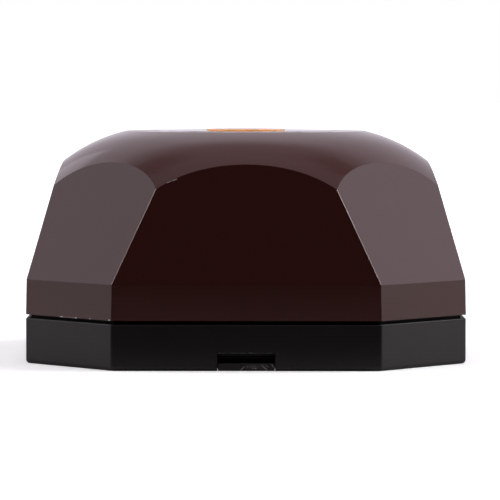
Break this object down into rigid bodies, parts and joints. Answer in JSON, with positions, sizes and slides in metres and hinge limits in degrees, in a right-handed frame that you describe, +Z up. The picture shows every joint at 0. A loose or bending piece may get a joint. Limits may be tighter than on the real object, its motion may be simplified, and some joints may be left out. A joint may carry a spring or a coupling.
{
  "type": "call button",
  "caption": "Table-top call button: faceted domed cover on an eight-sided base, one sprung key with an orange centre and silver rings, snap-in bottom plate over a battery bay.",
  "frame": {"origin": "middle of the base's underside, at table height", "axes": "+Z up through the key, -Y to the front, where the pry notch is, +X to the right as seen from the front"},
  "size_m": [0.062, 0.062, 0.0329],
  "materials": {
    "cover_brown": "high gloss moulded plastic",
    "ring_silver": "bright plated plastic",
    "key_silver": "silver-grey lacquer",
    "lens_orange": "translucent orange, polished",
    "base_black": "black satin moulding",
    "plate_black": "black fine-grained moulding",
    "spring_steel": "drawn wire",
    "board_green": "solder resist on glass laminate",
    "switch_grey": "moulded",
    "plunger_black": "moulded",
    "led_white": "moulded",
    "chip_black": "moulded epoxy",
    "can_metal": "pressed can",
    "aerial_copper": "enamelled copper wire",
    "chip_ceramic": "fired ceramic",
    "battery_jacket": "plain printed jacket",
    "contact_nickel": "nickel plated strip",
    "screw_zinc": "zinc plated"
  },
  "bodies": {
    "case": {"top_cover": "cover_brown", "base_case": "base_black", "trim_ring": "ring_silver", "key_spring": "spring_steel", "circuit_board": "board_green", "switch_body": "switch_grey", "status_leds": "led_white", "encoder_chip": "chip_black", "rf_transistor": "chip_black", "saw_resonator": "can_metal", "antenna_coil": "aerial_copper", "chip_parts": "chip_ceramic", "battery": "battery_jacket", "positive_contact": "contact_nickel", "negative_contact": "contact_nickel", "battery_spring": "contact_nickel", "case_screws": "screw_zinc", "board_screws": "screw_zinc"},
    "key": {"push_key": "key_silver", "key_lens": "lens_orange"},
    "plunger": {"switch_plunger": "plunger_black"},
    "plate": {"bottom_plate": "plate_black"}
  },
  "joints": [
    {"name": "key_press", "type": "slide", "parent": "case", "child": "key", "axis": [0, 0, -1], "range_m": [0, 0.0008], "stiffness_N_per_m": 97, "springref_m": -0.008, "deforming": ["key_spring"]},
    {"name": "switch_press", "type": "slide", "parent": "case", "child": "plunger", "axis": [0, 0, -1], "range_m": [0, 0.0008], "stiffness_N_per_m": 200, "springref_m": -0.002},
    {"name": "plate_release", "type": "hinge", "parent": "case", "child": "plate", "pos_m": [0, 0.02925, 0.0002], "axis": [1, 0, 0], "range_deg": [0, 20]}
  ],
  "couplings": [
    {"joint": "switch_press", "follows": "key_press", "ratio": 1}
  ]
}
